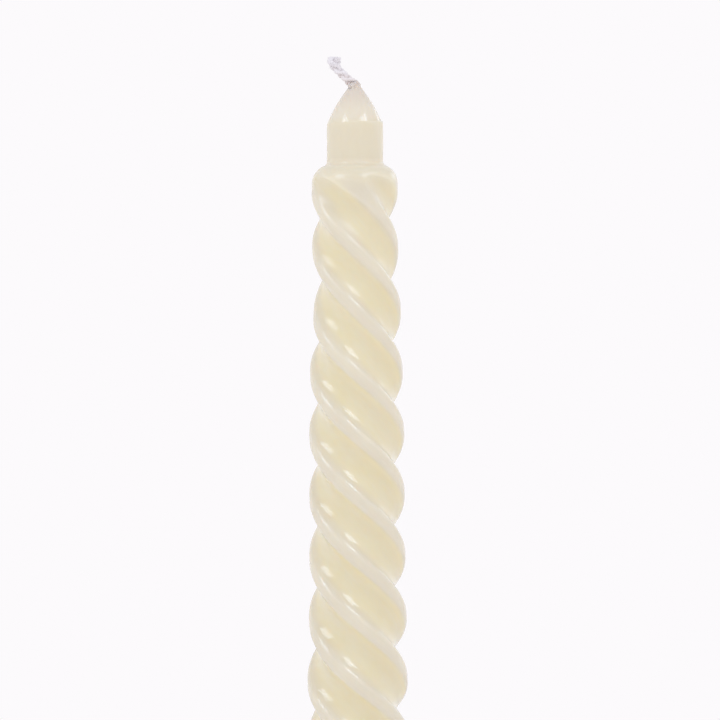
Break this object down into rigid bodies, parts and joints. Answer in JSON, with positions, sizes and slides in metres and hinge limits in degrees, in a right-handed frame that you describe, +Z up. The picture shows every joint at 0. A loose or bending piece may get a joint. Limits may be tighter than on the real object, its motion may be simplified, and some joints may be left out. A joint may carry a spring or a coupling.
{
  "type": "spiral taper candle",
  "caption": "Ivory taper candle with four twisted ridges and gently hollow flutes on a plain round foot, a slim neck, a pointed tip and a plaited cotton wick that leans to one side.",
  "frame": {"origin": "middle of the foot's flat bottom, on the candle's axis", "axes": "+Z up along the candle's axis from the foot to the wick; the front, as pictured, faces -Y; the wick leans towards -X"},
  "size_m": [0.0228, 0.0228, 0.2545],
  "materials": {
    "candle_wax": "satin ivory wax, slightly see-through at the edges",
    "wick_cotton": "plaited bleached cotton, waxed at its base and frayed at its end"
  },
  "bodies": {
    "root": {"wax_body": "candle_wax", "wick_yarn_1": "wick_cotton", "wick_yarn_2": "wick_cotton", "wick_yarn_3": "wick_cotton"}
  },
  "joints": []
}
